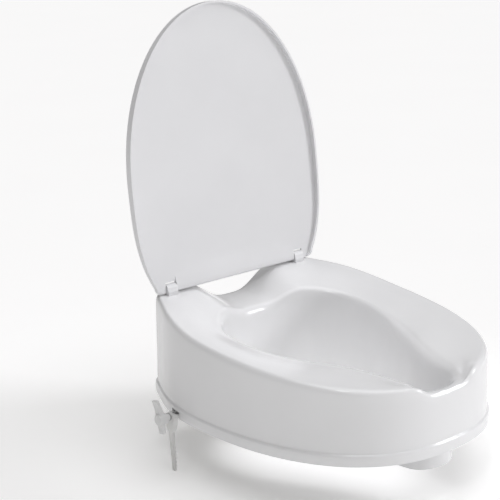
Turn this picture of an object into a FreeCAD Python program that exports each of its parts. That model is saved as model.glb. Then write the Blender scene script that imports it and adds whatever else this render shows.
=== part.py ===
import FreeCAD, Part
import math
import os

# Raised toilet seat with a hinged lid and two screw clamps. Millimetres, +Z up, front at -Y. The origin is
# the middle of the seat at the level of the toilet's rim. Left is -X.

# Seat outline at the flange
HALF_WIDTH = 185.0
FRONT_Y = -211.0
REAR_Y = 207.0
WIDEST_Y = 39.0
REAR_HALF_WIDTH = 145.0
REAR_CORNER = 30.0
FRONT_POWER = 2.39
REAR_POWER = 2.3

# Seat heights
BASE_Z = 1.0
FLANGE_HEIGHT = 15.0
CREST_Z = 109.0
CREST_SLOPE = 0.09
REAR_RISE = 8.0
REAR_RISE_START = 45.0
REAR_RISE_FADE = 125.0
WALL = 4.0
SKIRT_Z = -25.0
UNDERSIDE_Z = 2.0
FRONT_DIP = 13.5
FRONT_DIP_FLAT = 34.0
FRONT_DIP_END = 54.0
FRONT_DIP_START = -150.0
FRONT_DIP_FADE = 36.0
REAR_DIP = 29.0
REAR_DIP_FLAT = 16.0
REAR_DIP_END = 78.0
REAR_DIP_START = 60.0
REAR_DIP_FADE = 70.0
DISH = 10.0
DISH_FRONT = 4.0
DISH_FADE = 110.0

# Roll from the top into the opening: its width at the rear and the front, and its control points as shares
# of its width and fall, each with the sideways part of the surface's normal there
ROLL_REAR = 14.0
ROLL_FRONT = 27.0
ROLL_REAR_Y = 70.0
ROLL_FADE = 150.0
ROLL_SHARE = 0.45
ROLL_POLES = ((0.6, 0.03, 0.12), (0.26, 0.2, 0.5), (0.05, 0.56, 0.9), (0.0, 1.05, 1.0), (0.0, 1.7, 1.0))

# Opening
OPENING_HALF_WIDTH = 113.0
OPENING_WIDEST_Y = 50.0
OPENING_REAR_Y = 136.0
OPENING_REAR_POWER = 2.2
SLOT_HALF_WIDTH = 34.0
SLOT_FRONT_Y = -192.0
SLOT_ROUND_Y = -169.0

# Lid, measured along its face from the hinge axis
LID_HALF_WIDTH = 164.7
LID_LENGTH = 369.0
LID_TAIL = 5.8
LID_WIDEST = 0.38
LID_BASE_HALF_WIDTH = 141.0
LID_CORNER = 9.5
LID_TIP_POWER = 2.03
LID_SIDE_POWER = 3.3
LID_SKIN = 3.0
LID_RIM_GAP = 0.6
LID_FOOT = 26.0
LID_FOOT_ROOT = -1.0
LID_DEPTH = 12.0
LID_CROWN_RADIUS = 4200.0
LID_CROWN_W = -3.0
LID_LEAN = 6.3

# Hinge
HINGE_Y = 184.0
HINGE_RISE = 7.5
BLOCK_X = 115.0
BLOCK_WIDTH = 16.0
BLOCK_DEPTH = 15.0
NOTCH_TOP = 8.5
BLOCK_SCREW_SPREAD = 4.8
PIN_R = 2.5
BARREL_R = 5.2
BARREL_LENGTH = 28.0
RUNNING_GAP = 0.05
SIDE_GAP = 0.6

# Clamp, on the left side; the right one is its mirror image
CLAMP_Y = 98.0
SCREW_Z = 4.4
SCREW_R = 2.5
THREAD_DEPTH = 0.6
THREAD_PITCH = 2.0
SCREW_INNER_X = -138.0
ARM_BOTTOM_Z = 2.2
ARM_TOP_Z = 6.6
ARM_HALF_WIDTH = 9.0
ARM_GAP_HALF_WIDTH = 5.2
ARM_INNER_X = -134.0
FACE_INNER_X = -182.5
FACE_THICKNESS = 7.0
FACE_TOP_Z = 7.4
FACE_BOTTOM_Z = -17.0
NOTCH_TOP_Z = 10.2
LEG_HALF_WIDTH = 3.6
LEG_TIP_HALF_WIDTH = 2.3
LEG_THICKNESS = 5.0
LEG_TIP_THICKNESS = 3.4
LEG_BOTTOM_Z = -72.0
LEG_LEAN = 4.0
TOOTH_PITCH = 4.9
TOOTH_COUNT = 6
TOOTH_DEPTH = 1.4
NUT_X = -152.0
NUT_THICKNESS = 4.0
NUT_HALF_WIDTH = 4.0
GUIDE_OUTER_X = -164.0
GUIDE_INNER_X = -118.0
GUIDE_HALF_WIDTH = 15.6
GUIDE_BOTTOM_Z = 0.4
GUIDE_TOP_Z = 10.5
GUIDE_SCREW_X = -140.0
GUIDE_SCREW_SPREAD = 12.4
NECK_R = 4.5
NECK_LENGTH = 6.0
HUB_R = 7.5
HUB_LENGTH = 12.0
WING_THICKNESS = 5.5
WING_UP = 26.0
WING_DOWN = 19.0
KNOB_TILT = 15.0
HEAD_HALF_FLATS = 4.0
HEAD_THICKNESS = 3.5

# Rim pads: stations that they sit at, and their size
PAD_STATIONS = {"front": 9, "rear": 27}
PAD_INSET = 27.0
PAD_LENGTH = 62.0
PAD_WIDTH = 24.0
PAD_THICKNESS = 2.0
LAND_MARGIN = 4.0
LAND_THICKNESS = 3.0
STUD_R = 3.0
STUD_SPREAD = 20.0

# Small screws
SCREW_SHANK_R = 1.6
SCREW_HEAD_R = 3.0
SCREW_HEAD = 2.0
BOSS_R = 4.6
HEAD_GAP = 0.8
HINGE_BOSS_DEPTH = 14.0

RIB_STEP = 6
RIB_THICKNESS = 2.8

# Taller than anything in the hollow: ribs and bosses are cut to the hollow's shape
TALL = 150.0

STATIONS = 34
CROWDING = 0.35
SURFACE_DEGREE = 3

# Points along an outline's front, side and corner, and along the lid's edge
FRONT_STEPS = 60
SIDE_STEPS = 40
CORNER_STEPS = 30
LID_EDGE_STEPS = 18


def vec(x, y, z=0.0):
    return FreeCAD.Vector(x, y, z)


def smooth(value):
    """0 to 1 with level ends."""
    value = max(0.0, min(1.0, value))
    return value * value * (3.0 - 2.0 * value)


def crest_z(y):
    """Height of the crest: a gentle slope, with a further rise towards the hinge."""
    return CREST_Z + CREST_SLOPE * y + REAR_RISE * smooth((y - REAR_RISE_START) / REAR_RISE_FADE)


def half_outline(width, front, widest, rear, rear_width, corner, front_power, rear_power):
    """Right half of a rounded outline from its front centre to its rear centre."""
    points = []
    for i in range(FRONT_STEPS + 1):
        angle = math.pi / 2 * i / FRONT_STEPS
        points.append((width * math.sin(angle) ** (2 / front_power),
                       widest - (widest - front) * math.cos(angle) ** (2 / front_power)))
    for i in range(1, SIDE_STEPS + 1):
        t = i / SIDE_STEPS
        points.append((width - (width - rear_width) * t ** rear_power, widest + (rear - corner - widest) * t))
    for i in range(1, CORNER_STEPS + 1):
        angle = math.pi / 2 * i / CORNER_STEPS
        points.append((rear_width - corner * (1 - math.cos(angle)), rear - corner * (1 - math.sin(angle))))
    points.append((0.0, rear))
    return points


def half_opening():
    """Right half of the opening: a rounded front slot that widens into an oval."""
    points = []
    for i in range(CORNER_STEPS + 1):
        angle = math.pi / 2 * i / CORNER_STEPS
        points.append((SLOT_HALF_WIDTH * math.sin(angle),
                       SLOT_ROUND_Y - (SLOT_ROUND_Y - SLOT_FRONT_Y) * math.cos(angle)))
    for i in range(1, SIDE_STEPS + 1):
        t = i / SIDE_STEPS
        widening = (1 - math.cos(math.pi * t)) / 2
        points.append((SLOT_HALF_WIDTH + (OPENING_HALF_WIDTH - SLOT_HALF_WIDTH) * widening,
                       SLOT_ROUND_Y + (OPENING_WIDEST_Y - SLOT_ROUND_Y) * t))
    for i in range(1, FRONT_STEPS + 1):
        angle = math.pi / 2 * i / FRONT_STEPS
        points.append((OPENING_HALF_WIDTH * math.cos(angle) ** (2 / OPENING_REAR_POWER),
                       OPENING_WIDEST_Y + (OPENING_REAR_Y - OPENING_WIDEST_Y)
                       * math.sin(angle) ** (2 / OPENING_REAR_POWER)))
    return points


def spaced(points, fractions):
    """Points at the given fractions of a path's length."""
    lengths = [0.0]
    for (x0, y0), (x1, y1) in zip(points, points[1:]):
        lengths.append(lengths[-1] + math.hypot(x1 - x0, y1 - y0))
    found, k = [], 0
    for fraction in fractions:
        target = fraction * lengths[-1]
        while k < len(points) - 2 and lengths[k + 1] < target:
            k += 1
        t = (target - lengths[k]) / (lengths[k + 1] - lengths[k])
        found.append((points[k][0] + t * (points[k + 1][0] - points[k][0]),
                      points[k][1] + t * (points[k + 1][1] - points[k][1])))
    return found


def seat_stations():
    """Pairs of outline and opening points round the seat, closer together at the front and the rear."""
    fractions = [i / STATIONS - CROWDING * math.sin(2 * math.pi * i / STATIONS) / (2 * math.pi)
                 for i in range(STATIONS + 1)]
    outline = half_outline(HALF_WIDTH, FRONT_Y, WIDEST_Y, REAR_Y, REAR_HALF_WIDTH, REAR_CORNER,
                           FRONT_POWER, REAR_POWER)
    right = list(zip(spaced(outline, fractions), spaced(half_opening(), fractions)))
    left = [((-a[0], a[1]), (-b[0], b[1])) for a, b in right[-2:0:-1]]
    return right + left


def across(x, flat, end):
    """1 over a dip's level floor, falling to 0 at its sides."""
    return 1 - smooth((abs(x) - flat) / (end - flat))


def dip(x, y):
    """How far the top is lowered at the front lip and along the valley at the rear."""
    if y < 0:
        sides = across(x, FRONT_DIP_FLAT, FRONT_DIP_END)
        return FRONT_DIP * sides * smooth((FRONT_DIP_START - y) / FRONT_DIP_FADE)
    sides = across(x, REAR_DIP_FLAT, REAR_DIP_END)
    return REAR_DIP * sides * smooth((y - REAR_DIP_START) / REAR_DIP_FADE)


def roll_width(outer, span):
    """How broadly the top rolls over into the opening: tight at the rear, broad at the front."""
    broad = ROLL_REAR + (ROLL_FRONT - ROLL_REAR) * smooth((ROLL_REAR_Y - outer[1]) / ROLL_FADE)
    return min(broad, ROLL_SHARE * span)


def top_points(outer, inner, thickness):
    """Control points from the crest to the opening, as (distance in from the outline, height)."""
    span = math.hypot(inner[0] - outer[0], inner[1] - outer[1])
    roll = roll_width(outer, span)
    start = min(16.0, 0.38 * span)
    stop = max(span - roll, start + 1)
    points = []
    for t, dished in ((0.0, 0.0), (0.35, 0.12), (0.7, 0.55), (1.0, 1.0)):
        s = start + (stop - start) * t
        x, y = (outer[k] + (inner[k] - outer[k]) * s / span for k in (0, 1))
        lowered = dip(x, y)
        dish = DISH_FRONT + (DISH - DISH_FRONT) * smooth((y + DISH_FADE) / DISH_FADE)
        depth = dish * smooth((span - 20) / 50) * (1 - lowered / REAR_DIP)
        points.append((s, crest_z(y) - lowered - depth * dished - thickness))
    roll_z = points[-1][1] + thickness
    fall = 0.8 * roll + 5
    for back, down, sideways in ROLL_POLES:
        level = math.sqrt(1 - sideways ** 2)
        points.append((span - back * roll - thickness * sideways, roll_z - down * fall - thickness * level))
    return points, span


def outer_profile(outer, inner):
    """Outside of the wall, over the crest and down inside the opening to the foot of the skirt."""
    top, span = top_points(outer, inner, 0.0)
    crest = crest_z(outer[1]) - dip(*outer)
    bead = [(0.0, BASE_Z), (-0.2, 5.0), (-0.2, FLANGE_HEIGHT - 4), (0.8, FLANGE_HEIGHT),
            (3.2, FLANGE_HEIGHT + 0.3), (2.9, FLANGE_HEIGHT + 3.5)]
    wall = [(3.2, 30.0), (3.6, 0.62 * crest), (4.0, crest - 17), (4.2, crest - 4.5), (8.5, crest + 0.9)]
    skirt = [(span, 30.0), (span, 0.0), (span, SKIRT_Z)]
    return bead + wall + top + skirt


def inner_profile(outer, inner):
    """The same path on the hollow side of the wall."""
    top, span = top_points(outer, inner, WALL)
    crest = crest_z(outer[1]) - dip(*outer)
    wall = [(5.2, BASE_Z), (5.4, 8.0), (6.6, 20.0), (7.4, 40.0), (7.8, 0.62 * crest), (8.0, crest - 18),
            (8.4, crest - 8), (min(11.5, 0.44 * span), crest - 3.6)]
    skirt = [(span - WALL, 30.0), (span - WALL, 0.0), (span - WALL, SKIRT_Z)]
    return wall + top[1:] + skirt


def core_profile(outer, inner):
    """Mid-way through the wall: the limit for ribs and lands inside the hollow."""
    top, span = top_points(outer, inner, WALL / 2)
    crest = crest_z(outer[1]) - dip(*outer)
    wall = [(3.6, UNDERSIDE_Z), (3.8, 10.0), (5.2, 22.0), (5.8, 0.62 * crest), (6.0, crest - 17),
            (6.2, crest - 6), (min(10.0, 0.4 * span), crest - 1.2)]
    foot = [(span - WALL / 2, 30.0), (span - WALL / 2, UNDERSIDE_Z)]
    return wall + top[1:] + foot


def skin(profile):
    """Smooth closed surface through one row of control points for each station."""
    rows = []
    for outer, inner in seat_stations():
        points = profile(outer, inner)
        span = math.hypot(inner[0] - outer[0], inner[1] - outer[1])
        dx, dy = (inner[0] - outer[0]) / span, (inner[1] - outer[1]) / span
        rows.append([vec(outer[0] + s * dx, outer[1] + s * dy, z) for s, z in points])
    around, across = len(rows), len(rows[0])
    surface = Part.BSplineSurface()
    surface.buildFromPolesMultsKnots(rows, [1] * (around + 1), [4] + [1] * (across - 4) + [4],
                                     list(range(around + 1)), list(range(across - 2)), True, False,
                                     SURFACE_DEGREE, SURFACE_DEGREE)
    return surface.toShape()


def rims(face):
    """The surface's two closed edges, highest last."""
    closed = [e for e in face.Edges if e.isClosed() and e.BoundBox.ZLength < 0.01]
    return sorted(closed, key=lambda e: e.BoundBox.ZMin)


def ring_face(outside, inside):
    return Part.makeFace([Part.Wire([outside]), Part.Wire([inside])], "Part::FaceMakerBullseye")


def sewn(faces):
    shell = Part.makeShell(faces)
    shell.sewShape()
    solid = Part.Solid(shell.Shells[0] if shell.ShapeType == "Compound" else shell)
    solid.fix(0.01, 0.01, 0.1)
    if solid.Volume < 0:
        solid.reverse()
    return solid


def seat_skin_solid():
    outside, inside = skin(outer_profile), skin(inner_profile)
    out_low, out_high = rims(outside)
    in_low, in_high = rims(inside)
    return sewn([outside, inside, ring_face(out_high, in_high), ring_face(out_low, in_low)])


def core_solid():
    core = skin(core_profile)
    edges = rims(core)
    edges.sort(key=lambda e: e.BoundBox.XLength)
    return sewn([core, ring_face(edges[1], edges[0])])


def box(x0, x1, y0, y1, z0, z1):
    return Part.makeBox(x1 - x0, y1 - y0, z1 - z0, vec(x0, y0, z0))


def rod(radius, start, end):
    along = end - start
    return Part.makeCylinder(radius, along.Length, start, along)


def prism(points, direction):
    """Closed polygon of vectors, swept along a vector."""
    return Part.Face(Part.makePolygon(points + points[:1])).extrude(direction)


def merged(shapes):
    whole = shapes[0].multiFuse(shapes[1:]) if len(shapes) > 1 else shapes[0]
    return whole.removeSplitter()


def mirrored(shape):
    return shape.mirror(vec(0, 0, 0), vec(1, 0, 0))


def local_frame(station):
    """A point on the outline, the way inwards and the way along it."""
    before, here, after = (seat_stations()[station + k] for k in (-1, 0, 1))
    along = vec(after[0][0] - before[0][0], after[0][1] - before[0][1]).normalize()
    inwards = vec(-along.y, along.x)
    return vec(*here[0]), inwards, along


def near_guide(point):
    x, y = abs(point[0]), point[1]
    return (-GUIDE_INNER_X - 6 < x < -GUIDE_OUTER_X + 3) and abs(y - CLAMP_Y) < GUIDE_HALF_WIDTH + 4


def ribs():
    """Radial plates that stiffen the hollow, left out where the clamp guides sit."""
    plates = []
    stations = seat_stations()
    for outer, inner in stations[1::RIB_STEP]:
        path = [(outer[0] + (inner[0] - outer[0]) * t / 20, outer[1] + (inner[1] - outer[1]) * t / 20)
                for t in range(21)]
        if any(near_guide(p) for p in path):
            continue
        start, end = vec(*outer), vec(*inner)
        side = (end - start).normalize().cross(vec(0, 0, 1)) * (RIB_THICKNESS / 2)
        corners = [start - side, end - side, end + side, start + side]
        plates.append(prism([c + vec(0, 0, UNDERSIDE_Z) for c in corners], vec(0, 0, TALL)))
    return plates


def pad_frame(where):
    point, inwards, along = local_frame(PAD_STATIONS[where])
    return point + inwards * PAD_INSET, inwards, along


def strip(centre, inwards, along, length, width, low, high):
    """Rectangle with rounded ends, flat on its own plane."""
    a, b = centre - along * (length - width) / 2, centre + along * (length - width) / 2
    half = inwards * width / 2
    up = vec(0, 0, low)
    bar = prism([a - half + up, b - half + up, b + half + up, a + half + up], vec(0, 0, high - low))
    ends = [Part.makeCylinder(width / 2, high - low, p + up) for p in (a, b)]
    return merged([bar] + ends)


def studs(where, radius, low, high):
    centre, inwards, along = pad_frame(where)
    return [Part.makeCylinder(radius, high - low, centre + along * k * STUD_SPREAD + vec(0, 0, low))
            for k in (-1, 1)]


def rim_pad(where):
    centre, inwards, along = pad_frame(where)
    pad = strip(centre, inwards, along, PAD_LENGTH, PAD_WIDTH, 0, PAD_THICKNESS)
    grip = [prism([centre + along * (k * 7 - 1) - inwards * 13 + vec(0, 0, -1),
                   centre + along * (k * 7 + 1) - inwards * 13 + vec(0, 0, -1),
                   centre + along * (k * 7 + 1) + inwards * 13 + vec(0, 0, -1),
                   centre + along * (k * 7 - 1) + inwards * 13 + vec(0, 0, -1)], vec(0, 0, 1.6))
            for k in range(-3, 4)]
    for groove in grip:
        pad = pad.cut(groove)
    return merged([pad] + studs(where, STUD_R, PAD_THICKNESS, PAD_THICKNESS + LAND_THICKNESS))


def lands():
    found = []
    for where in PAD_STATIONS:
        centre, inwards, along = pad_frame(where)
        centre = centre - inwards * LAND_MARGIN
        found.append(strip(centre, inwards, along, PAD_LENGTH + 2 * LAND_MARGIN, PAD_WIDTH + 4 * LAND_MARGIN,
                           UNDERSIDE_Z, UNDERSIDE_Z + LAND_THICKNESS))
    return found


def hinge_axis():
    return vec(0, HINGE_Y, crest_z(HINGE_Y) + HINGE_RISE)


def hinge_screw_places():
    return [vec(BLOCK_X, HINGE_Y + k * BLOCK_SCREW_SPREAD) for k in (-1, 1)]


def guide_screw_places():
    return [vec(-GUIDE_SCREW_X, CLAMP_Y + k * GUIDE_SCREW_SPREAD) for k in (-1, 1)]


def seat_shell():
    """One moulding: wall, top, skirt, ribs, pad lands, screw bosses and the two clamp notches."""
    core = core_solid()
    hinge_boss_z = crest_z(HINGE_Y) - HINGE_BOSS_DEPTH
    right = lands()
    right += [Part.makeCylinder(BOSS_R, TALL, p + vec(0, 0, hinge_boss_z)) for p in hinge_screw_places()]
    right += [Part.makeCylinder(BOSS_R, TALL, p + vec(0, 0, GUIDE_TOP_Z)) for p in guide_screw_places()]
    inside = ribs() + right + [mirrored(p) for p in right]
    inside = [piece.common(core) for piece in inside]
    seat = seat_skin_solid().fuse(inside)
    holes = []
    for where in PAD_STATIONS:
        holes += studs(where, STUD_R, 0, UNDERSIDE_Z + LAND_THICKNESS + 1)
    for place in hinge_screw_places():
        holes.append(Part.makeCylinder(SCREW_SHANK_R, TALL, place + vec(0, 0, hinge_boss_z - 1)))
        holes.append(Part.makeCylinder(SCREW_HEAD_R + HEAD_GAP, HINGE_BOSS_DEPTH,
                                       place + vec(0, 0, hinge_boss_z - HINGE_BOSS_DEPTH)))
    holes += [Part.makeCylinder(SCREW_SHANK_R, 14, p + vec(0, 0, GUIDE_TOP_Z - 1)) for p in guide_screw_places()]
    holes.append(box(-FACE_INNER_X - 17, -FACE_INNER_X + 8, CLAMP_Y - ARM_HALF_WIDTH - 0.8,
                     CLAMP_Y + ARM_HALF_WIDTH + 0.8, 0, NOTCH_TOP_Z))
    return seat.cut(holes + [mirrored(h) for h in holes])


def lid_outline(inset, tail):
    """Closed wire of the lid's outline, in its own plane (x, s)."""
    tip = LID_LENGTH - inset
    half = half_outline(LID_HALF_WIDTH - inset, -tip, -LID_LENGTH * LID_WIDEST, tail,
                        LID_BASE_HALF_WIDTH - inset, LID_CORNER, LID_TIP_POWER, LID_SIDE_POWER)
    corner_start = FRONT_STEPS + SIDE_STEPS
    shares = [i / LID_EDGE_STEPS for i in range(1, LID_EDGE_STEPS + 1)]
    ends = [half[0]] + spaced(half[:corner_start + 1], shares)
    curve = Part.BSplineCurve()
    right = [vec(x, -y) for x, y in ends]
    left = [vec(-p.x, p.y) for p in right[:0:-1]]
    curve.interpolate(left + right)
    corner_end = half[-2]
    bend = half[corner_start + CORNER_STEPS // 2]
    corner = Part.Arc(right[-1], vec(bend[0], -bend[1]), vec(corner_end[0], -corner_end[1])).toShape()
    foot = Part.makeLine(vec(corner_end[0], -tail), vec(-corner_end[0], -tail))
    return Part.Wire(Part.__sortEdges__([curve.toShape(), corner, foot,
                                         corner.mirror(vec(0, 0, 0), vec(1, 0, 0))]))


def lid_foot(length):
    """Thickened strip along the hinge side that fairs the barrels into the face."""
    outline = [(LID_FOOT, LID_FOOT_ROOT), (3.0, BARREL_R), (-3.0, BARREL_R), (-LID_TAIL, 3.0),
               (-LID_TAIL, 0.0)]
    return prism([vec(-length, s, w) for s, w in outline], vec(2 * length, 0, 0))


def lid_panel():
    """Crowned panel with a turned rim on all sides but the hinge's, and a barrel for each pin."""
    middle = vec(0, LID_LENGTH / 2, LID_CROWN_RADIUS + LID_CROWN_W)
    inner_ball = Part.makeSphere(LID_CROWN_RADIUS, middle)
    outer_ball = Part.makeSphere(LID_CROWN_RADIUS + LID_SKIN, middle)
    rim_w = HINGE_RISE - LID_RIM_GAP
    lower = vec(0, 0, -LID_DEPTH)
    body = Part.Face(lid_outline(0, LID_TAIL)).extrude(vec(0, 0, LID_DEPTH + rim_w))
    body.translate(lower)
    body = body.common(outer_ball)
    pocket = Part.Face(lid_outline(LID_SKIN, LID_TAIL - LID_SKIN)).extrude(vec(0, 0, 2 * LID_DEPTH + rim_w))
    mouth = box(LID_CORNER - LID_BASE_HALF_WIDTH, LID_BASE_HALF_WIDTH - LID_CORNER, -2 * LID_TAIL, LID_TAIL,
                0, 2 * LID_DEPTH + rim_w)
    pocket = merged([pocket, mouth])
    pocket.translate(lower)
    lid = body.cut(pocket.common(inner_ball))
    barrel_end = BLOCK_X - BLOCK_WIDTH / 2 - SIDE_GAP
    notch = box(barrel_end, BLOCK_X + BLOCK_WIDTH / 2 + SIDE_GAP, -2 * LID_DEPTH, NOTCH_TOP,
                -2 * LID_DEPTH, 2 * LID_DEPTH)
    barrel = rod(BARREL_R, vec(barrel_end - BARREL_LENGTH, 0, 0), vec(barrel_end, 0, 0))
    bore = rod(PIN_R + RUNNING_GAP, vec(barrel_end - BARREL_LENGTH + 3, 0, 0), vec(barrel_end + 1, 0, 0))
    swept = box(-LID_HALF_WIDTH, LID_HALF_WIDTH, -2 * LID_DEPTH, 0, 0, 2 * LID_DEPTH)
    swept = swept.cut(rod(LID_TAIL, vec(-LID_HALF_WIDTH, 0, 0), vec(LID_HALF_WIDTH, 0, 0)))
    lid = lid.cut([notch, mirrored(notch)])
    lid = merged([lid, lid_foot(barrel_end), barrel, mirrored(barrel)])
    lid = lid.cut([bore, mirrored(bore), swept])
    lid.rotate(vec(0, 0, 0), vec(1, 0, 0), 90 - LID_LEAN)
    lid.translate(hinge_axis())
    return lid


def hinge_block(seat):
    """Block on the seat's top that holds the pin; its foot follows the seat's surface."""
    axis = hinge_axis()
    x0, x1 = BLOCK_X - BLOCK_WIDTH / 2, BLOCK_X + BLOCK_WIDTH / 2
    foot = box(x0, x1, HINGE_Y - BLOCK_DEPTH / 2, HINGE_Y + BLOCK_DEPTH / 2, axis.z - 14.5, axis.z - 3.5)
    head = rod(BARREL_R + 1.0, vec(x0, axis.y, axis.z), vec(x1, axis.y, axis.z))
    neck = prism([vec(x0, HINGE_Y - BLOCK_DEPTH / 2, axis.z - 3.6), vec(x0, HINGE_Y - 5.2, axis.z + 3.3),
                  vec(x0, HINGE_Y + 5.2, axis.z + 3.3), vec(x0, HINGE_Y + BLOCK_DEPTH / 2, axis.z - 3.6)],
                 vec(BLOCK_WIDTH, 0, 0))
    pin_hole = rod(PIN_R, vec(x0 - 1, axis.y, axis.z), vec(x1 - 2, axis.y, axis.z))
    screws = [rod(SCREW_SHANK_R, p + vec(0, 0, axis.z - 40), p + vec(0, 0, axis.z - 3.6 - PIN_R))
              for p in hinge_screw_places()]
    block = merged([foot, head, neck]).cut([seat, pin_hole] + screws)
    return max(block.Solids, key=lambda s: s.CenterOfMass.z)


def hinge_pin():
    axis = hinge_axis()
    start = BLOCK_X - BLOCK_WIDTH / 2 - SIDE_GAP - BARREL_LENGTH + 5
    end = BLOCK_X + BLOCK_WIDTH / 2 - 2
    pin = rod(PIN_R, vec(start, axis.y, axis.z), vec(end, axis.y, axis.z))
    return chamfered(pin, 0.4)


def chamfered(shape, size):
    return shape.makeChamfer(size, [e for e in shape.Edges if e.Closed])


def hinge_screws():
    axis = hinge_axis()
    low, high = crest_z(HINGE_Y) - HINGE_BOSS_DEPTH, axis.z - 3.6 - PIN_R - 0.5
    return Part.makeCompound([self_tapping(p, low, high) for p in hinge_screw_places()])


def self_tapping(place, low, high):
    """Screw from below: pan head, shank and a cross recess."""
    head = Part.makeCylinder(SCREW_HEAD_R, SCREW_HEAD, place + vec(0, 0, low - SCREW_HEAD))
    head = chamfered(head, 0.5)
    shank = Part.makeCylinder(SCREW_SHANK_R, high - low, place + vec(0, 0, low))
    screw = merged([head, shank])
    recess = [box(place.x - a, place.x + a, place.y - b, place.y + b, low - SCREW_HEAD - 1, low - 0.9)
              for a, b in ((1.7, 0.35), (0.35, 1.7))]
    return screw.cut(recess)


def clamp_guide():
    """Channel under the seat for the bracket's two prongs, with the nut in its middle web."""
    guide = box(GUIDE_OUTER_X, GUIDE_INNER_X, CLAMP_Y - GUIDE_HALF_WIDTH, CLAMP_Y + GUIDE_HALF_WIDTH,
                GUIDE_BOTTOM_Z, GUIDE_TOP_Z)
    upright = [e for e in guide.Edges if e.BoundBox.ZLength > 5]
    guide = guide.makeFillet(4.0, upright)
    cuts = []
    for side in (-1, 1):
        near, far = ARM_GAP_HALF_WIDTH - 0.3, ARM_HALF_WIDTH + 0.3
        y0, y1 = sorted((CLAMP_Y + side * near, CLAMP_Y + side * far))
        cuts.append(box(-200, -100, y0, y1, ARM_BOTTOM_Z - 0.3, ARM_TOP_Z + 0.3))
    cuts.append(rod(SCREW_R + 0.5, vec(-200, CLAMP_Y, SCREW_Z), vec(-100, CLAMP_Y, SCREW_Z)))
    cuts.append(box(NUT_X, NUT_X + NUT_THICKNESS, CLAMP_Y - NUT_HALF_WIDTH, CLAMP_Y + NUT_HALF_WIDTH,
                    -5, SCREW_Z + NUT_HALF_WIDTH))
    for p in guide_screw_places():
        place = vec(-p.x, p.y)
        cuts.append(Part.makeCylinder(SCREW_SHANK_R, 40, place + vec(0, 0, -5)))
        cuts.append(Part.makeCylinder(SCREW_HEAD_R + 0.2, SCREW_HEAD + 0.6 + 5, place + vec(0, 0, -5)))
    return guide.cut(cuts)


def guide_screws():
    low = GUIDE_BOTTOM_Z + 0.2 + SCREW_HEAD
    return Part.makeCompound([self_tapping(vec(-p.x, p.y), low, GUIDE_TOP_Z + 12) for p in guide_screw_places()])


def captive_nut():
    nut = box(NUT_X, NUT_X + NUT_THICKNESS, CLAMP_Y - NUT_HALF_WIDTH, CLAMP_Y + NUT_HALF_WIDTH,
              SCREW_Z - NUT_HALF_WIDTH, SCREW_Z + NUT_HALF_WIDTH)
    nut = nut.makeChamfer(0.5, [e for e in nut.Edges if e.BoundBox.XLength > 3])
    return nut.cut(rod(SCREW_R + RUNNING_GAP, vec(NUT_X - 1, CLAMP_Y, SCREW_Z),
                       vec(NUT_X + NUT_THICKNESS + 1, CLAMP_Y, SCREW_Z)))


def clamp_bracket():
    """Two prongs, a shield-shaped face that the screw passes through, and a toothed leg."""
    outer_x = FACE_INNER_X - FACE_THICKNESS
    prongs = []
    for side in (-1, 1):
        y0, y1 = sorted((CLAMP_Y + side * ARM_GAP_HALF_WIDTH, CLAMP_Y + side * ARM_HALF_WIDTH))
        prongs.append(box(FACE_INNER_X - 1, ARM_INNER_X, y0, y1, ARM_BOTTOM_Z, ARM_TOP_Z))
    face = prism([vec(outer_x, CLAMP_Y + y, z) for y, z in (
        (-ARM_HALF_WIDTH, FACE_TOP_Z), (ARM_HALF_WIDTH, FACE_TOP_Z), (ARM_HALF_WIDTH, -5),
        (LEG_HALF_WIDTH + 1.4, FACE_BOTTOM_Z), (-LEG_HALF_WIDTH - 1.4, FACE_BOTTOM_Z), (-ARM_HALF_WIDTH, -5))],
        vec(FACE_THICKNESS, 0, 0))
    face = face.makeFillet(2.4, [e for e in face.Edges if e.BoundBox.XLength > 5])
    face = face.makeFillet(1.2, [e for e in face.Edges if abs(e.BoundBox.XMin - outer_x) < 0.01
                                 and e.BoundBox.XLength < 0.01])
    bracket = merged([face, clamp_leg()] + prongs)
    hole = rod(SCREW_R + 0.3, vec(outer_x - 1, CLAMP_Y, SCREW_Z), vec(FACE_INNER_X + 1, CLAMP_Y, SCREW_Z))
    return bracket.cut(hole)


def clamp_leg():
    """Leg that narrows to its tip, leans in and has teeth on the side that faces the bowl."""
    top_z = FACE_BOTTOM_Z + 4
    top_x = FACE_INNER_X - FACE_THICKNESS + 0.6
    tip_x = top_x + LEG_LEAN
    sections = []
    for x, z, half, thick in ((top_x, top_z, LEG_HALF_WIDTH, LEG_THICKNESS),
                              (tip_x, LEG_BOTTOM_Z, LEG_TIP_HALF_WIDTH, LEG_TIP_THICKNESS)):
        corners = [vec(x, CLAMP_Y - half, z), vec(x + thick, CLAMP_Y - half, z),
                   vec(x + thick, CLAMP_Y + half, z), vec(x, CLAMP_Y + half, z)]
        sections.append(Part.makePolygon(corners + corners[:1]))
    leg = Part.makeLoft(sections, True, True)
    teeth = []
    first_z = LEG_BOTTOM_Z + 6
    for i in range(TOOTH_COUNT):
        z = first_z + i * TOOTH_PITCH
        t = (z - LEG_BOTTOM_Z) / (top_z - LEG_BOTTOM_Z)
        x = (tip_x + LEG_TIP_THICKNESS) * (1 - t) + (top_x + LEG_THICKNESS) * t
        half = LEG_TIP_HALF_WIDTH * (1 - t) + LEG_HALF_WIDTH * t - 0.3
        y = CLAMP_Y - half
        teeth.append(prism([vec(x - 1, y, z), vec(x + TOOTH_DEPTH, y, z + 0.4), vec(x + TOOTH_DEPTH, y, z + 1.2),
                            vec(x - 1, y, z + TOOTH_PITCH * 0.8)], vec(0, 2 * half, 0)))
    return merged([leg] + teeth)


def screw_x():
    """Where the knob's neck, hub, screw head and the screw's parts begin, going outwards."""
    face_x = FACE_INNER_X - FACE_THICKNESS
    neck = face_x - 1.2
    hub = neck - NECK_LENGTH
    head = hub - 4.0
    return face_x, neck, hub, head


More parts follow.
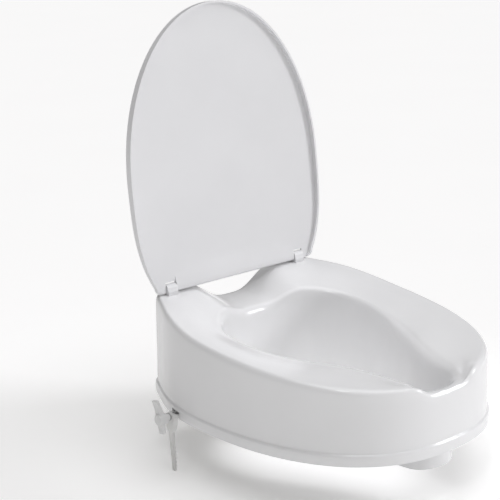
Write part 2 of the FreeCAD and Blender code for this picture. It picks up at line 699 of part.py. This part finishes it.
def clamp_screw():
    """Hexagon head, plain neck and a thread cut as grooves at the thread's pitch."""
    face_x, neck, hub, head = screw_x()
    length = SCREW_INNER_X - head
    thread_start = FACE_INNER_X + 3 - head
    profile = [(0, 0), (0, SCREW_R), (thread_start, SCREW_R)]
    turns = int((length - thread_start - 1) / THREAD_PITCH)
    for i in range(turns):
        x = thread_start + i * THREAD_PITCH
        profile += [(x + 0.5, SCREW_R), (x + 1.1, SCREW_R - THREAD_DEPTH), (x + 1.3, SCREW_R - THREAD_DEPTH),
                    (x + 1.9, SCREW_R)]
    profile += [(length - 0.8, SCREW_R), (length, SCREW_R - 0.8), (length, 0)]
    points = [vec(head + x, CLAMP_Y, SCREW_Z + r) for x, r in profile]
    face = Part.Face(Part.makePolygon(points + points[:1]))
    shank = face.revolve(vec(head, CLAMP_Y, SCREW_Z), vec(1, 0, 0), 360)
    return merged([shank, hex_head(HEAD_HALF_FLATS, head - HEAD_THICKNESS, head)])


def hex_head(half_flats, x0, x1):
    r = half_flats / math.cos(math.pi / 6)
    points = [vec(x0, CLAMP_Y + r * math.cos(math.pi * k / 3), SCREW_Z + r * math.sin(math.pi * k / 3))
              for k in range(6)]
    return prism(points, vec(x1 - x0, 0, 0))


def wing_knob():
    """Neck and hub with two wings: a long one that flares outwards and a short one."""
    face_x, neck, hub, head = screw_x()
    end = hub - HUB_LENGTH
    centre = vec(0, CLAMP_Y, SCREW_Z)
    body = rod(HUB_R, vec(hub, CLAMP_Y, SCREW_Z), vec(end, CLAMP_Y, SCREW_Z))
    body = body.makeFillet(2.0, [e for e in body.Edges if e.Closed and abs(e.BoundBox.XMin - end) < 0.01])
    stem = rod(NECK_R, vec(neck, CLAMP_Y, SCREW_Z), vec(hub - 1, CLAMP_Y, SCREW_Z))
    wings = [knob_wing(hub - 3.0, WING_UP, 5.0, 4.6, -4.0), knob_wing(hub - 4.0, -WING_DOWN, 4.8, 4.4, -0.6)]
    knob = merged([body, stem] + wings)
    knob.rotate(centre, vec(1, 0, 0), -KNOB_TILT)
    hole = rod(SCREW_R, vec(neck + 1, CLAMP_Y, SCREW_Z), vec(head, CLAMP_Y, SCREW_Z))
    return knob.cut([hole, hex_head(HEAD_HALF_FLATS, head - HEAD_THICKNESS, head)])


def knob_wing(x, reach, root_half, tip_half, flare):
    """Tapered blade from the hub's middle to its rounded tip; flare moves the tip outwards."""
    sections = []
    for t, half, thick in ((0.0, root_half + 1.0, WING_THICKNESS + 2.0), (0.45, root_half, WING_THICKNESS),
                           (1.0, tip_half, WING_THICKNESS - 1.0)):
        z = SCREW_Z + reach * t
        middle = x + flare * t * t - WING_THICKNESS / 2
        corners = [vec(middle - thick / 2, CLAMP_Y - half, z), vec(middle + thick / 2, CLAMP_Y - half, z),
                   vec(middle + thick / 2, CLAMP_Y + half, z), vec(middle - thick / 2, CLAMP_Y + half, z)]
        sections.append(Part.makePolygon(corners + corners[:1]))
    wing = Part.makeLoft(sections, True, False)
    tip = [e for e in wing.Edges if abs(e.BoundBox.ZMin - (SCREW_Z + reach)) < 0.05 and e.BoundBox.ZLength < 0.05]
    return wing.makeFillet(1.3, tip)


def washer(x0, x1, outer_r, inner_r):
    ring = rod(outer_r, vec(x0, CLAMP_Y, SCREW_Z), vec(x1, CLAMP_Y, SCREW_Z))
    return ring.cut(rod(inner_r, vec(x0 - 1, CLAMP_Y, SCREW_Z), vec(x1 + 1, CLAMP_Y, SCREW_Z)))


def retaining_clip():
    """Open ring that snaps on the screw behind the bracket's face."""
    x = FACE_INNER_X + 0.2
    ring = washer(x, x + 0.8, 4.4, SCREW_R)
    return ring.cut(box(x - 1, x + 2, CLAMP_Y - 1.6, CLAMP_Y + 1.6, SCREW_Z - 8, SCREW_Z))


def main():
    os.makedirs("parts", exist_ok=True)
    seat = seat_shell()
    face_x, neck, hub, head = screw_x()
    right_side = {"hinge_block": hinge_block(seat), "hinge_pin": hinge_pin(), "hinge_screws": hinge_screws(),
                  "rim_pad_front": rim_pad("front"), "rim_pad_rear": rim_pad("rear")}
    left_side = {"clamp_guide": clamp_guide(), "guide_screws": guide_screws(), "captive_nut": captive_nut(),
                 "clamp_bracket": clamp_bracket(), "clamp_screw": clamp_screw(), "wing_knob": wing_knob(),
                 "knob_washer": washer(neck, face_x - 0.2, 5.0, SCREW_R), "retaining_clip": retaining_clip()}
    parts = {"seat_shell": seat, "lid_panel": lid_panel()}
    for name, shape in right_side.items():
        parts[name + "_right"], parts[name + "_left"] = shape, mirrored(shape)
    for name, shape in left_side.items():
        parts[name + "_left"], parts[name + "_right"] = shape, mirrored(shape)
    for name, shape in parts.items():
        shape.exportStep(f"parts/{name}.step")
        print(name, shape.isValid(), len(shape.Solids), round(shape.Volume))


main()
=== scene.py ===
import math

import bmesh
import bpy
from mathutils import Matrix, Vector


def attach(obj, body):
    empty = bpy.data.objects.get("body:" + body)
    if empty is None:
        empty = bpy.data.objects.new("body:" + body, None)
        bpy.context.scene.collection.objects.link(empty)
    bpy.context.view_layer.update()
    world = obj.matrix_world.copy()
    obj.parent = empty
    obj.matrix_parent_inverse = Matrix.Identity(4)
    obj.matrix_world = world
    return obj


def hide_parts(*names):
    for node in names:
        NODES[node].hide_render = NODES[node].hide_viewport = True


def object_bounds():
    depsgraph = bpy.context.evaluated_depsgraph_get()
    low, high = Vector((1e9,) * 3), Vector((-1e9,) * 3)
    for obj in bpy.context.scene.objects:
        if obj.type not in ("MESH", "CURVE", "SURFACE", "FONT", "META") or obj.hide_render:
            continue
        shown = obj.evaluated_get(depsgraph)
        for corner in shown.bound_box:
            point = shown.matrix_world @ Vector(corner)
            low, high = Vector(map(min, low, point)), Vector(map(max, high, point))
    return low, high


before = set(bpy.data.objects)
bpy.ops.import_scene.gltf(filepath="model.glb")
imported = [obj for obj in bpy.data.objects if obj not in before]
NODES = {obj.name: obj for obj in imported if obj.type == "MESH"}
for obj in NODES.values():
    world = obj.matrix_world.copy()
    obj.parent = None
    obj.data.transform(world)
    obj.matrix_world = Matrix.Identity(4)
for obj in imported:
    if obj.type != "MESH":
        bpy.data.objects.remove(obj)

cad_low, cad_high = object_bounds()

# Camera: place and clipping in metres, turns in degrees, lens and sensor in millimetres
CAMERA_PLACE = Vector((-1.17535, -1.19228, 0.67621))
CAMERA_AZIMUTH = -41.1423
CAMERA_ELEVATION = 15.6077
CAMERA_ROLL = -0.8786
CAMERA_LENS = 98.226
CAMERA_NEAR = 0.05
CAMERA_FAR = 60.0
SENSOR = 36.0

# Light: the world is slightly warm and the suns slightly cool
WARM = (1.0, 0.98, 0.93)
COOL = (0.98, 0.98, 1.0)
SPOT_PLACE = Vector((-0.75, -0.65, 1.45))
SPOT_TARGET = Vector((0.07, -0.01, 0.04))
SPOT_RADIUS = 0.12
SPOT_BLEND = 1.0

# Floor: sizes in metres; it glows a little, so that the background stays even
FLOOR_HALF_SIZE = 14.0
FLOOR_GAP = 0.0005
FLOOR_DARK = 0.945
FLOOR_LIGHT = 0.955
FLOOR_ROUGHNESS = 0.9
FLOOR_SPECULAR = 0.1
FLOOR_GLOW = 0.25
FLOOR_GLOW_COLOUR = (1.0, 0.99, 0.975, 1.0)

# The part of a noise's range over which one value gives way to the other
NARROW_BAND = (0.35, 0.65)
WIDE_BAND = (0.3, 0.7)

# Orange peel of moulded plastic: noise scale on large and small mouldings, and its depth in metres
LARGE_PEEL = 170.0
SMALL_PEEL = 500.0
PEEL_DEPTH = 0.00004
PLASTIC_IOR = 1.5

# Shading of the lid: corners closer than this many metres are one, and edges blunter than this many degrees
# are shaded smooth
WELD = 0.000005
SHARP_ANGLE = 30.0


def towards(azimuth, elevation):
    """Unit vector to a direction in degrees; azimuth 0 is the front, 90 the right."""
    turn = math.radians(azimuth)
    rise = math.radians(elevation)
    return Vector((math.sin(turn) * math.cos(rise), -math.cos(turn) * math.cos(rise), math.sin(rise)))


def make_camera():
    data = bpy.data.cameras.new("camera")
    data.lens = CAMERA_LENS
    data.sensor_width = SENSOR
    data.clip_start = CAMERA_NEAR
    data.clip_end = CAMERA_FAR
    camera = bpy.data.objects.new("camera", data)
    bpy.context.scene.collection.objects.link(camera)
    azimuth = math.radians(CAMERA_AZIMUTH)
    roll = math.radians(CAMERA_ROLL)
    back = towards(CAMERA_AZIMUTH, CAMERA_ELEVATION)
    level = Vector((math.cos(azimuth), math.sin(azimuth), 0.0))
    upright = back.cross(level)
    right = level * math.cos(roll) + upright * math.sin(roll)
    up = upright * math.cos(roll) - level * math.sin(roll)
    turn = Matrix((right, up, back)).transposed().to_4x4()
    camera.matrix_world = Matrix.Translation(CAMERA_PLACE) @ turn
    bpy.context.scene.camera = camera


def new_material(name):
    material = bpy.data.materials.new(name)
    material.use_nodes = True
    tree = material.node_tree
    tree.nodes.clear()
    output = tree.nodes.new("ShaderNodeOutputMaterial")
    shader = tree.nodes.new("ShaderNodeBsdfPrincipled")
    tree.links.new(shader.outputs["BSDF"], output.inputs["Surface"])
    return material, tree, shader


def noise(tree, scale, detail, roughness=0.5):
    coords = tree.nodes.new("ShaderNodeTexCoord")
    texture = tree.nodes.new("ShaderNodeTexNoise")
    texture.inputs["Scale"].default_value = scale
    texture.inputs["Detail"].default_value = detail
    texture.inputs["Roughness"].default_value = roughness
    tree.links.new(coords.outputs["Object"], texture.inputs["Vector"])
    return texture.outputs["Fac"]


def grey(level):
    return (level, level, level)


def mottle(tree, socket, pattern, band, first, second):
    """Feeds a socket with a colour that goes from first to second over a band of the pattern."""
    node = tree.nodes.new("ShaderNodeValToRGB")
    for element, place, colour in zip(node.color_ramp.elements, band, (first, second)):
        element.position = place
        element.color = (*colour, 1.0)
    tree.links.new(pattern, node.inputs["Fac"])
    tree.links.new(node.outputs["Color"], socket)


def relief(tree, shader, height, strength, depth):
    node = tree.nodes.new("ShaderNodeBump")
    node.inputs["Strength"].default_value = strength
    node.inputs["Distance"].default_value = depth
    tree.links.new(height, node.inputs["Height"])
    tree.links.new(node.outputs["Normal"], shader.inputs["Normal"])


def plastic(name, light, dark, smooth, rough, peel=LARGE_PEEL):
    material, tree, shader = new_material(name)
    cloud = noise(tree, scale=9.0, detail=4.0)
    mottle(tree, shader.inputs["Base Color"], cloud, NARROW_BAND, dark, light)
    smears = noise(tree, scale=42.0, detail=6.0, roughness=0.62)
    mottle(tree, shader.inputs["Roughness"], smears, WIDE_BAND, grey(smooth), grey(rough))
    relief(tree, shader, noise(tree, peel, detail=2.0), strength=1.0, depth=PEEL_DEPTH)
    shader.inputs["IOR"].default_value = PLASTIC_IOR
    return material


def steel(name):
    material, tree, shader = new_material(name)
    cloud = noise(tree, scale=60.0, detail=5.0)
    mottle(tree, shader.inputs["Base Color"], cloud, WIDE_BAND, (0.30, 0.30, 0.31), (0.52, 0.52, 0.53))
    smears = noise(tree, scale=300.0, detail=4.0)
    mottle(tree, shader.inputs["Roughness"], smears, WIDE_BAND, grey(0.22), grey(0.4))
    shader.inputs["Metallic"].default_value = 1.0
    relief(tree, shader, noise(tree, scale=900.0, detail=3.0), strength=0.6, depth=0.00003)
    return material


def rubber(name):
    material, tree, shader = new_material(name)
    cloud = noise(tree, scale=40.0, detail=5.0)
    mottle(tree, shader.inputs["Base Color"], cloud, WIDE_BAND, (0.50, 0.51, 0.52), (0.60, 0.61, 0.62))
    smears = noise(tree, scale=120.0, detail=4.0)
    mottle(tree, shader.inputs["Roughness"], smears, WIDE_BAND, grey(0.6), grey(0.8))
    relief(tree, shader, noise(tree, scale=1200.0, detail=3.0), strength=0.7, depth=0.00006)
    return material


def make_materials():
    return {
        "seat_plastic": plastic("seat_white", light=(0.875, 0.875, 0.885), dark=(0.85, 0.85, 0.86),
                                smooth=0.14, rough=0.22),
        "lid_plastic": plastic("lid_white", light=(0.85, 0.85, 0.865), dark=(0.825, 0.825, 0.84),
                               smooth=0.30, rough=0.40),
        "clamp_plastic": plastic("clamp_white", light=(0.80, 0.80, 0.79), dark=(0.76, 0.76, 0.75),
                                 smooth=0.28, rough=0.42, peel=SMALL_PEEL),
        "knob_plastic": plastic("knob_white", light=(0.82, 0.82, 0.82), dark=(0.78, 0.78, 0.78),
                                smooth=0.26, rough=0.38, peel=SMALL_PEEL),
        "steel": steel("screw_steel"),
        "pad_rubber": rubber("pad_grey"),
    }


MATERIALS = make_materials()

# The record's material slot of each kind of node; a name that ends in _left or _right is looked up without it
SLOTS = {
    "seat_shell": "seat_plastic",
    "lid_panel": "lid_plastic",
    "hinge_block": "lid_plastic",
    "hinge_pin": "steel",
    "hinge_screws": "steel",
    "rim_pad_front": "pad_rubber",
    "rim_pad_rear": "pad_rubber",
    "clamp_guide": "clamp_plastic",
    "guide_screws": "steel",
    "captive_nut": "steel",
    "clamp_bracket": "clamp_plastic",
    "clamp_screw": "steel",
    "wing_knob": "knob_plastic",
    "knob_washer": "steel",
    "retaining_clip": "steel",
}


def dress_nodes():
    for name, node in NODES.items():
        kind = name.removesuffix("_left").removesuffix("_right")
        node.data.materials.clear()
        node.data.materials.append(MATERIALS[SLOTS[kind]])


def smooth_lid():
    """The lid's own faces, welded and shaded smooth except across sharp edges, in place of the CAD node."""
    faces = bmesh.new()
    faces.from_mesh(NODES["lid_panel"].data)
    bmesh.ops.remove_doubles(faces, verts=faces.verts, dist=WELD)
    corners = [vertex.co.copy() for vertex in faces.verts]
    rings = [[vertex.index for vertex in face.verts] for face in faces.faces]
    faces.free()
    mesh = bpy.data.meshes.new("lid_moulding")
    mesh.from_pydata(corners, [], rings)
    mesh.shade_smooth()
    mesh.set_sharp_from_angle(angle=math.radians(SHARP_ANGLE))
    mesh.materials.append(MATERIALS["lid_plastic"])
    lid = bpy.data.objects.new("lid_moulding", mesh)
    bpy.context.scene.collection.objects.link(lid)
    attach(lid, "lid")
    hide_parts("lid_panel")


def aim(light, direction):
    light.rotation_euler = direction.to_track_quat("-Z", "Y").to_euler()
    bpy.context.scene.collection.objects.link(light)


def sun(name, azimuth, elevation, strength, spread):
    """Distant light from a direction in degrees, as the function towards takes it."""
    data = bpy.data.lights.new(name, "SUN")
    data.energy = strength
    data.color = COOL
    data.angle = math.radians(spread)
    aim(bpy.data.objects.new(name, data), -towards(azimuth, elevation))


def soft_spot(name, power, cone):
    """Spot light aimed into the opening, fading from its middle to nothing at the edge of its cone."""
    data = bpy.data.lights.new(name, "SPOT")
    data.energy = power
    data.spot_size = math.radians(cone)
    data.spot_blend = SPOT_BLEND
    data.shadow_soft_size = SPOT_RADIUS
    light = bpy.data.objects.new(name, data)
    light.location = SPOT_PLACE
    aim(light, SPOT_TARGET - SPOT_PLACE)


def make_world(strength):
    world = bpy.data.worlds.new("studio")
    world.use_nodes = True
    background = world.node_tree.nodes["Background"]
    background.inputs["Color"].default_value = (*WARM, 1.0)
    background.inputs["Strength"].default_value = strength
    bpy.context.scene.world = world


def make_floor():
    """Square floor just under the lowest CAD point, the foot of the clamps."""
    half = FLOOR_HALF_SIZE
    low = cad_low.z - FLOOR_GAP
    mesh = bpy.data.meshes.new("floor")
    mesh.from_pydata([(-half, -half, low), (half, -half, low), (half, half, low), (-half, half, low)], [],
                     [(0, 1, 2, 3)])
    floor = bpy.data.objects.new("floor", mesh)
    bpy.context.scene.collection.objects.link(floor)
    material, tree, shader = new_material("floor_paper")
    cloud = noise(tree, scale=3.0, detail=3.0)
    mottle(tree, shader.inputs["Base Color"], cloud, WIDE_BAND, grey(FLOOR_DARK), grey(FLOOR_LIGHT))
    shader.inputs["Roughness"].default_value = FLOOR_ROUGHNESS
    shader.inputs["Specular IOR Level"].default_value = FLOOR_SPECULAR
    shader.inputs["Emission Color"].default_value = FLOOR_GLOW_COLOUR
    shader.inputs["Emission Strength"].default_value = FLOOR_GLOW
    mesh.materials.append(material)


dress_nodes()
smooth_lid()
make_camera()
make_world(strength=0.15)
make_floor()
sun("overhead", azimuth=20.0, elevation=80.0, strength=1.5, spread=60.0)
sun("key", azimuth=48.0, elevation=22.0, strength=1.15, spread=20.0)
soft_spot("inside", power=24.0, cone=17.0)
bpy.context.scene.view_settings.view_transform = "Standard"
bpy.context.scene.view_settings.look = "None"
